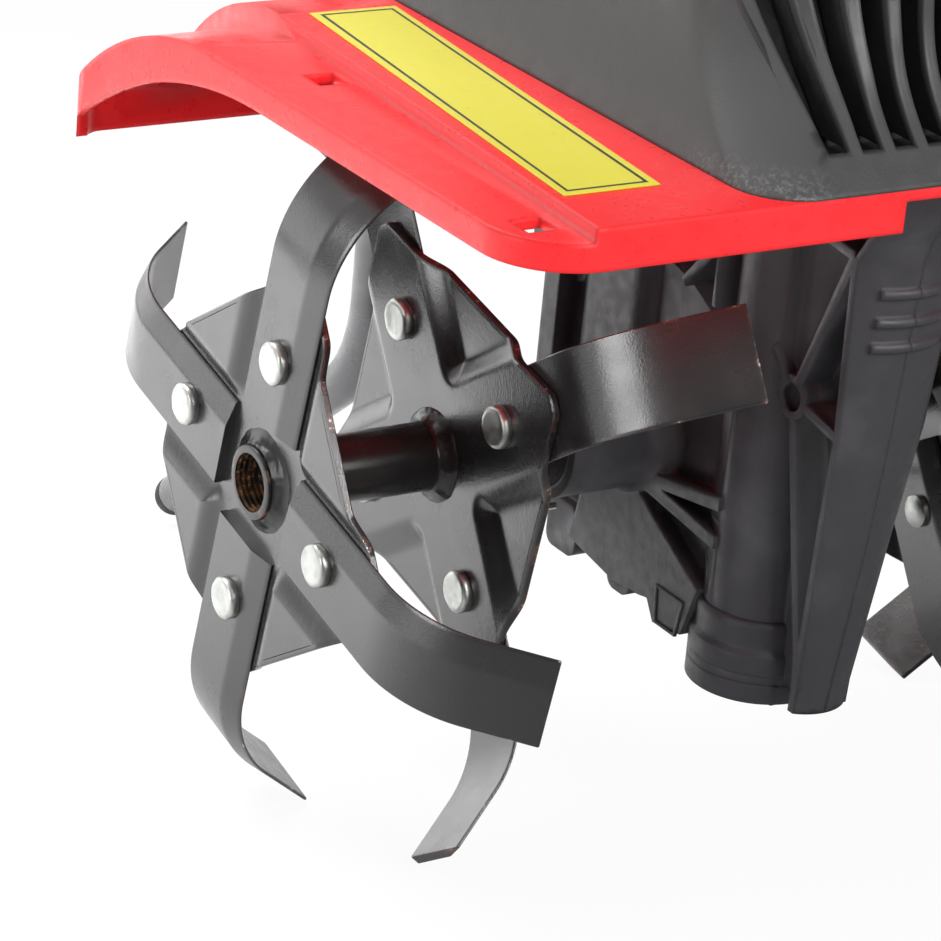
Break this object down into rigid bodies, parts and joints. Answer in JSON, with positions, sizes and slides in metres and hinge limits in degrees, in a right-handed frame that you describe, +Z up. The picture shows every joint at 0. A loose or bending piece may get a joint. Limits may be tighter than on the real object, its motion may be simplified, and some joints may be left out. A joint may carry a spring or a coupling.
{
  "type": "mini tiller",
  "caption": "Small electric garden tiller: motor over a worm gear case, bent tine stars under a guard, drag bar and folding handle with a switch lever.",
  "frame": {"origin": "middle of the bounding box's bottom, on the ground under the machine", "axes": "+Z up, -Y forward, +X to the machine's left; the machine stands nose down on tines and drag bar"},
  "size_m": [0.3168, 0.8078, 0.9658],
  "materials": {
    "case_plastic": "fine-grained moulded black",
    "guard_red": "satin moulded red",
    "sticker_yellow": "plain yellow foil",
    "hood_black": "speckled moulded black",
    "tine_black": "black powder coat, worn at the edges",
    "rivet_zinc": "bright zinc",
    "fastener_zinc": "zinc",
    "clip_chrome": "bright wire",
    "steel": "turned steel",
    "bronze": "bronze and copper",
    "motor_aluminium": "die-cast",
    "inner_plastic": "moulded",
    "rubber": "soft black",
    "arm_paint": "black paint",
    "bar_steel": "zinc-plated bar",
    "handle_paint": "black paint",
    "grip_rubber": "soft black",
    "switch_plastic": "moulded black",
    "knob_plastic": "moulded black",
    "lever_red": "moulded red",
    "button_grey": "moulded grey"
  },
  "bodies": {
    "chassis": {"gear_case_right": "case_plastic", "gear_case_left": "case_plastic", "bearing_cap": "case_plastic", "case_screws": "fastener_zinc", "cap_screws": "fastener_zinc", "worm_bearings": "steel", "axle_bushes": "bronze", "axle_seals": "rubber", "guard": "guard_red", "sticker": "sticker_yellow", "motor_hood": "hood_black", "guard_screws": "fastener_zinc", "motor_cap": "hood_black", "motor_cap_screws": "fastener_zinc", "motor_base": "motor_aluminium", "motor_screws": "fastener_zinc", "stator": "steel", "field_coils": "bronze", "top_bracket": "motor_aluminium", "brush_holders": "inner_plastic", "cable_gland": "rubber", "rear_arm": "arm_paint", "arm_bolts": "fastener_zinc", "handle_clamp": "arm_paint", "clamp_bolts": "fastener_zinc", "lower_handle": "handle_paint", "fold_bolts": "fastener_zinc"},
    "tine_rotor": {"axle": "steel", "worm_wheel": "bronze", "wheel_key": "steel", "hub_tubes": "tine_black", "outer_plates": "tine_black", "inner_plates": "tine_black", "rivets": "rivet_zinc", "cross_pins": "fastener_zinc", "hairpins": "clip_chrome", "outer_tines_right": "tine_black", "outer_tines_left": "tine_black", "inner_tines_right": "tine_black", "inner_tines_left": "tine_black"},
    "motor_rotor": {"worm_shaft": "steel", "armature": "steel", "commutator": "bronze", "fan": "inner_plastic"},
    "drag_bar_body": {"drag_bar": "bar_steel", "bar_foot": "rubber"},
    "bar_knob_body": {"bar_knob": "knob_plastic"},
    "handle_top": {"upper_handle": "handle_paint", "grips": "grip_rubber", "switch_box": "switch_plastic", "switch_lid": "switch_plastic", "lid_screws": "fastener_zinc", "micro_switch": "inner_plastic", "inlet_plug": "switch_plastic", "lead_gland": "rubber"},
    "fold_knob_right_body": {"fold_knob_right": "knob_plastic"},
    "fold_knob_left_body": {"fold_knob_left": "knob_plastic"},
    "switch_lever_body": {"switch_lever": "lever_red"},
    "safety_button_body": {"safety_button": "button_grey"}
  },
  "joints": [
    {"name": "tine_spin", "type": "hinge", "parent": "chassis", "child": "tine_rotor", "pos_m": [0, -0.25099, 0.10902], "axis": [1, 0, 0], "continuous": true},
    {"name": "motor_spin", "type": "hinge", "parent": "chassis", "child": "motor_rotor", "pos_m": [0, -0.30227, 0.10044], "axis": [0, -0.165, 0.9863], "continuous": true},
    {"name": "bar_slide", "type": "slide", "parent": "chassis", "child": "drag_bar_body", "axis": [0, -0.165, 0.9863], "range_m": [-0.03, 0.06]},
    {"name": "bar_knob_turn", "type": "hinge", "parent": "chassis", "child": "bar_knob_body", "pos_m": [0, -0.0755, 0.24181], "axis": [0, 0.9863, 0.165], "continuous": true},
    {"name": "handle_fold", "type": "hinge", "parent": "chassis", "child": "handle_top", "pos_m": [0, 0.10668, 0.58032], "axis": [1, 0, 0], "range_deg": [0, 135]},
    {"name": "fold_knob_right_turn", "type": "hinge", "parent": "chassis", "child": "fold_knob_right_body", "pos_m": [-0.133, 0.10668, 0.58032], "axis": [-1, 0, 0], "continuous": true},
    {"name": "fold_knob_left_turn", "type": "hinge", "parent": "chassis", "child": "fold_knob_left_body", "pos_m": [0.133, 0.10668, 0.58032], "axis": [1, 0, 0], "continuous": true},
    {"name": "lever_squeeze", "type": "hinge", "parent": "handle_top", "child": "switch_lever_body", "pos_m": [0, 0.35298, 0.89803], "axis": [1, 0, 0], "range_deg": [0, 22], "stiffness_Nm_per_rad": 0.6, "springref_deg": -6.88},
    {"name": "button_press", "type": "slide", "parent": "handle_top", "child": "safety_button_body", "axis": [0, 0.7934, -0.6088], "range_m": [0, 0.004], "stiffness_N_per_m": 300, "springref_m": -0.003}
  ],
  "couplings": [
    {"joint": "motor_spin", "follows": "tine_spin", "ratio": 42}
  ]
}
